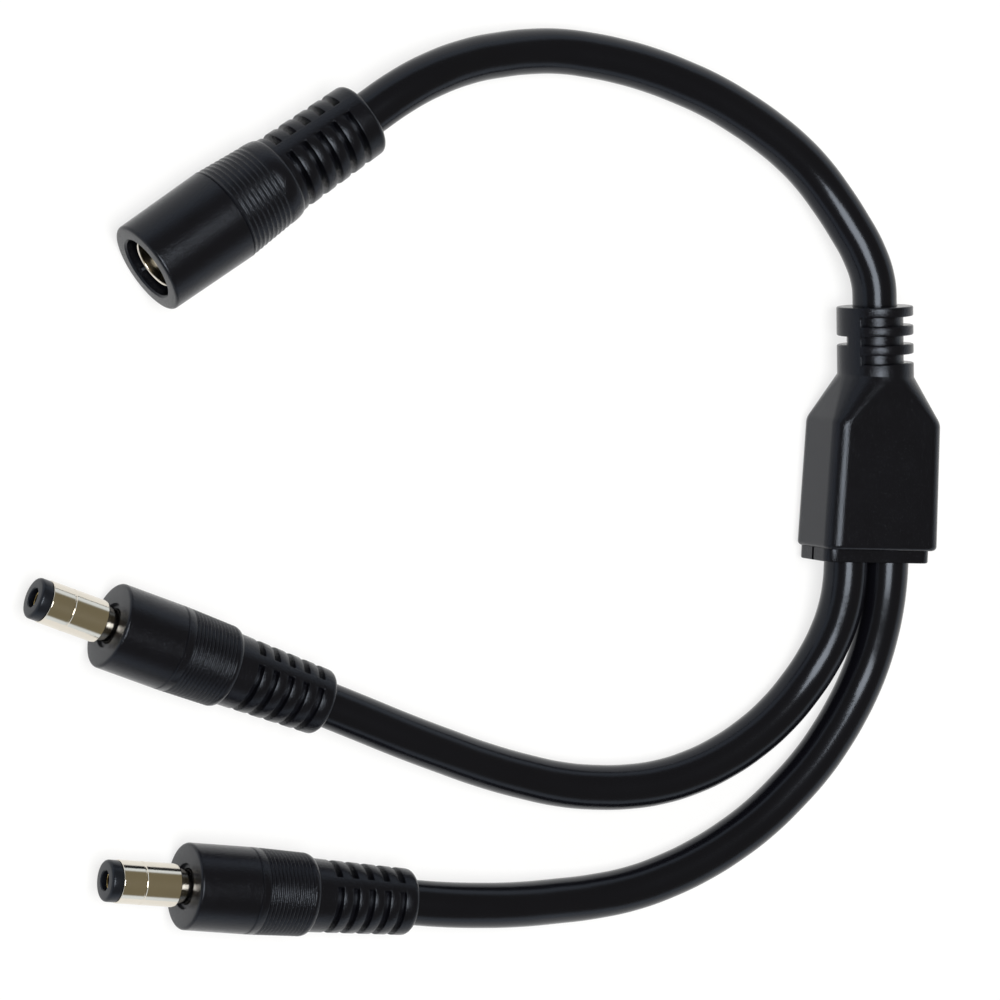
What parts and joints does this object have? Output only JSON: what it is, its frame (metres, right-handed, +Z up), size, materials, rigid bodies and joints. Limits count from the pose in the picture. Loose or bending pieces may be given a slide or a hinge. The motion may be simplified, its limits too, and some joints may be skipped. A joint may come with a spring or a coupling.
{
  "type": "dc splitter cable",
  "caption": "Short splitter cable for low-voltage direct current: a female barrel jack feeds male barrel plugs through a flat moulded junction block.",
  "frame": {"origin": "middle of the junction block's broad face that it rests on", "axes": "+Z up, out of the block's other broad face; +Y along the block towards the jack's cable; +X across it"},
  "size_m": [0.1263, 0.1156, 0.0125],
  "materials": {
    "moulding": "soft black PVC, satin with a fine speckled mould texture",
    "jacket": "smooth black PVC with a soft gloss",
    "insulator": "hard black plastic, semi-gloss",
    "nickel_plate": "turned brass with bright nickel plate",
    "contact_brass": "bare rolled brass",
    "positive_core": "red core insulation",
    "negative_core": "black core insulation"
  },
  "bodies": {
    "root": {"jack_body": "moulding", "jack_insert": "insulator", "jack_sleeve": "nickel_plate", "jack_pin": "nickel_plate", "jack_positive_core": "positive_core", "jack_negative_core": "negative_core", "plug_1_body": "moulding", "plug_1_barrel": "nickel_plate", "plug_1_insulator": "insulator", "plug_1_centre_contact": "contact_brass", "plug_1_positive_core": "positive_core", "plug_1_negative_core": "negative_core", "plug_2_body": "moulding", "plug_2_barrel": "nickel_plate", "plug_2_insulator": "insulator", "plug_2_centre_contact": "contact_brass", "plug_2_positive_core": "positive_core", "plug_2_negative_core": "negative_core", "junction_body": "moulding", "positive_splice": "contact_brass", "negative_splice": "contact_brass", "input_positive_core": "positive_core", "input_negative_core": "negative_core", "output_1_positive_core": "positive_core", "output_1_negative_core": "negative_core", "output_2_positive_core": "positive_core", "output_2_negative_core": "negative_core", "input_cable": "jacket", "output_cable_1": "jacket", "output_cable_2": "jacket"}
  },
  "joints": []
}
